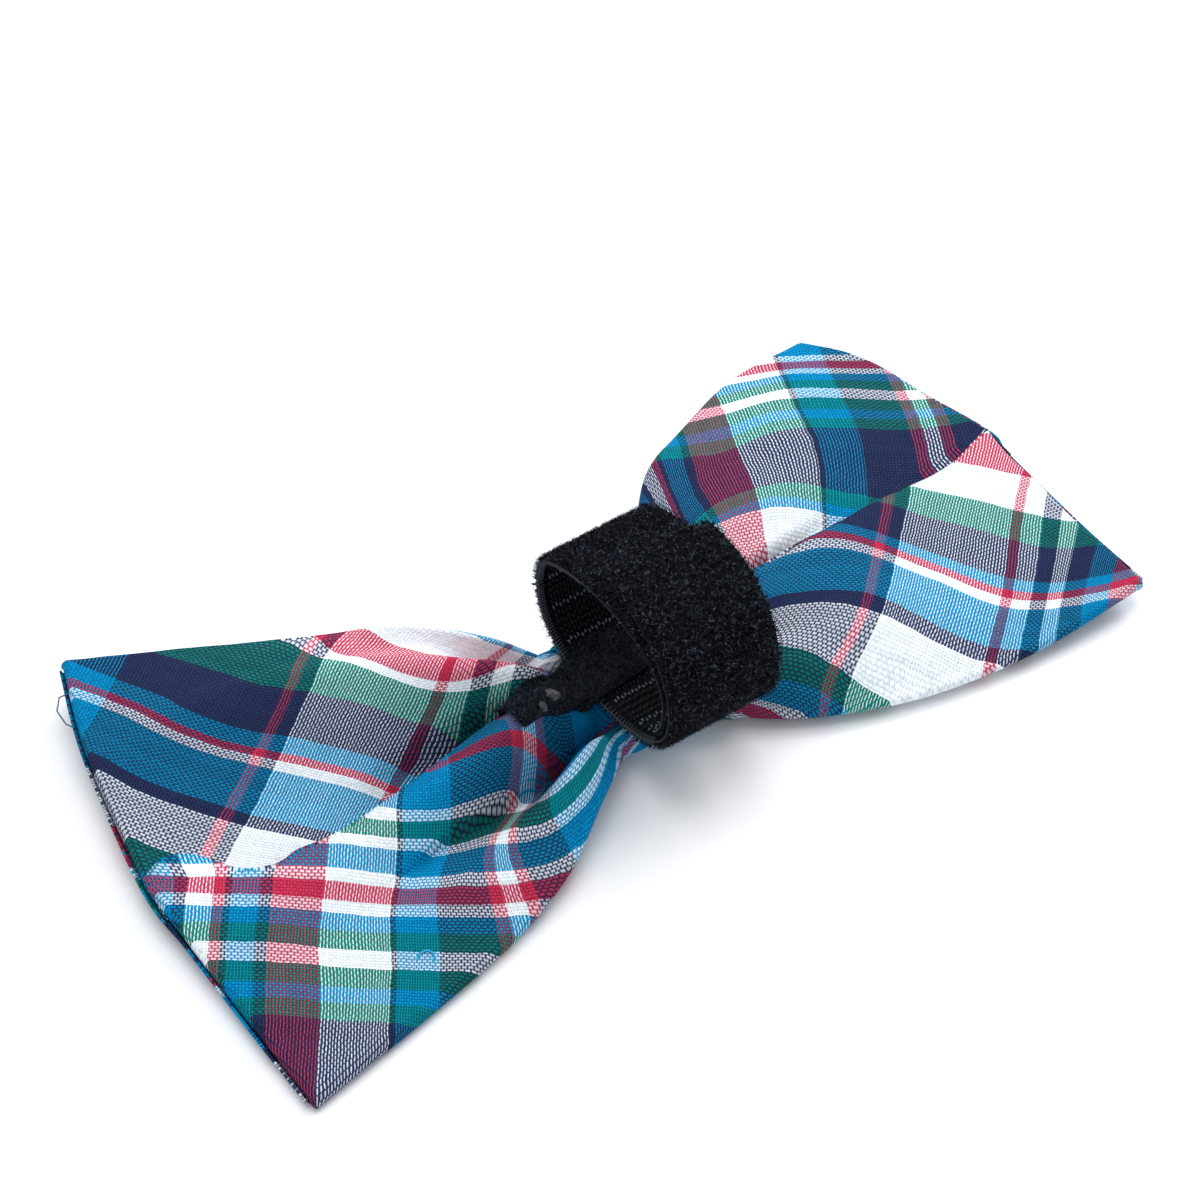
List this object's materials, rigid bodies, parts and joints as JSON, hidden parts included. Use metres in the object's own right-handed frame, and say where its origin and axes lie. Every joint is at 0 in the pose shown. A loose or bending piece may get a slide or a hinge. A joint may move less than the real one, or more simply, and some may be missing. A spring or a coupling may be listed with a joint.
{
  "type": "pet bow tie collar",
  "caption": "Plaid cotton bow tie for a pet, front down, with a lapped hook-and-loop strap standing on its back to close round a collar.",
  "frame": {"origin": "middle of the footprint, on the surface that the bow's front lies on", "axes": "+X along the bow to the right wing, +Y to the far edge, +Z out of the back of the bow, where the strap stands"},
  "size_m": [0.133, 0.0712, 0.029],
  "materials": {
    "bow_cloth": "plain-weave plaid cotton",
    "knot_cloth": "plain-weave plaid cotton",
    "strap": "black hook-and-loop tape, pile outside",
    "keeper": "black brushed pile"
  },
  "bodies": {
    "root": {"left_wing": "bow_cloth", "right_wing": "bow_cloth", "center_knot": "knot_cloth", "closure_strap": "strap", "keeper_strip": "keeper"}
  },
  "joints": []
}
